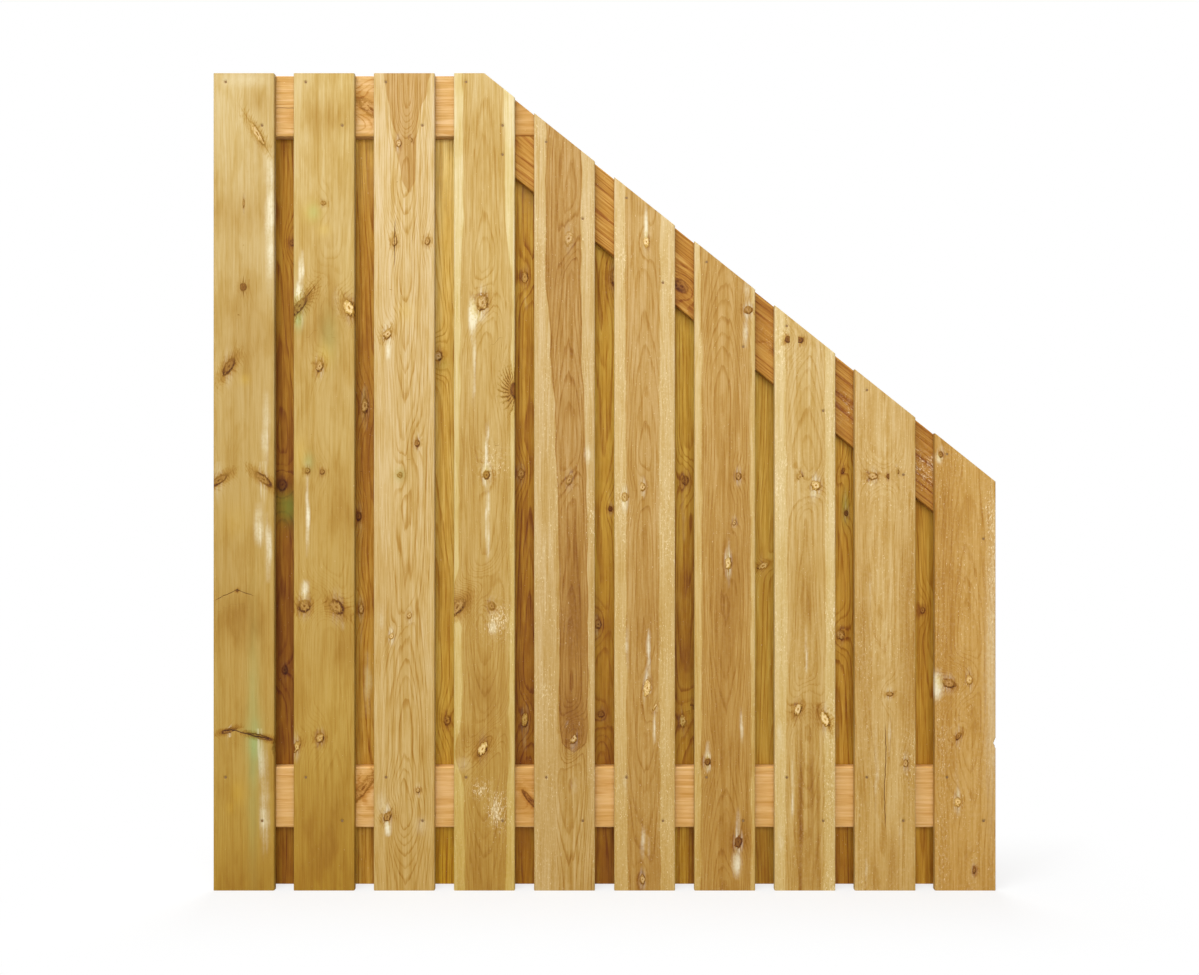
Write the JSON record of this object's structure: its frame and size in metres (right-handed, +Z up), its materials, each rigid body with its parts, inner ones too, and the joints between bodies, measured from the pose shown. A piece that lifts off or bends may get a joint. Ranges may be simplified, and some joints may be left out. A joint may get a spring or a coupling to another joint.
{
  "type": "wooden fence panel",
  "caption": "Pine fence panel with a top that is level and then slopes down: two staggered rows of upright boards nailed to both sides of a bottom, a top and a sloping rail.",
  "frame": {"origin": "on the ground at the middle of the panel's length and thickness", "axes": "+Z up, +X along the panel towards the low side, -Y towards the front row of boards"},
  "size_m": [1.8, 0.064, 1.88],
  "materials": {
    "front_board_pine": "planed",
    "back_board_pine": "planed",
    "rail_pine": "planed",
    "nail_steel": "dull"
  },
  "bodies": {
    "root": {"front_board_1": "front_board_pine", "front_board_2": "front_board_pine", "front_board_3": "front_board_pine", "front_board_4": "front_board_pine", "front_board_5": "front_board_pine", "front_board_6": "front_board_pine", "front_board_7": "front_board_pine", "front_board_8": "front_board_pine", "front_board_9": "front_board_pine", "front_board_10": "front_board_pine", "back_board_1": "back_board_pine", "back_board_2": "back_board_pine", "back_board_3": "back_board_pine", "back_board_4": "back_board_pine", "back_board_5": "back_board_pine", "back_board_6": "back_board_pine", "back_board_7": "back_board_pine", "back_board_8": "back_board_pine", "back_board_9": "back_board_pine", "top_rail": "rail_pine", "sloping_rail": "rail_pine", "bottom_rail": "rail_pine", "front_nails": "nail_steel", "back_nails": "nail_steel"}
  },
  "joints": []
}
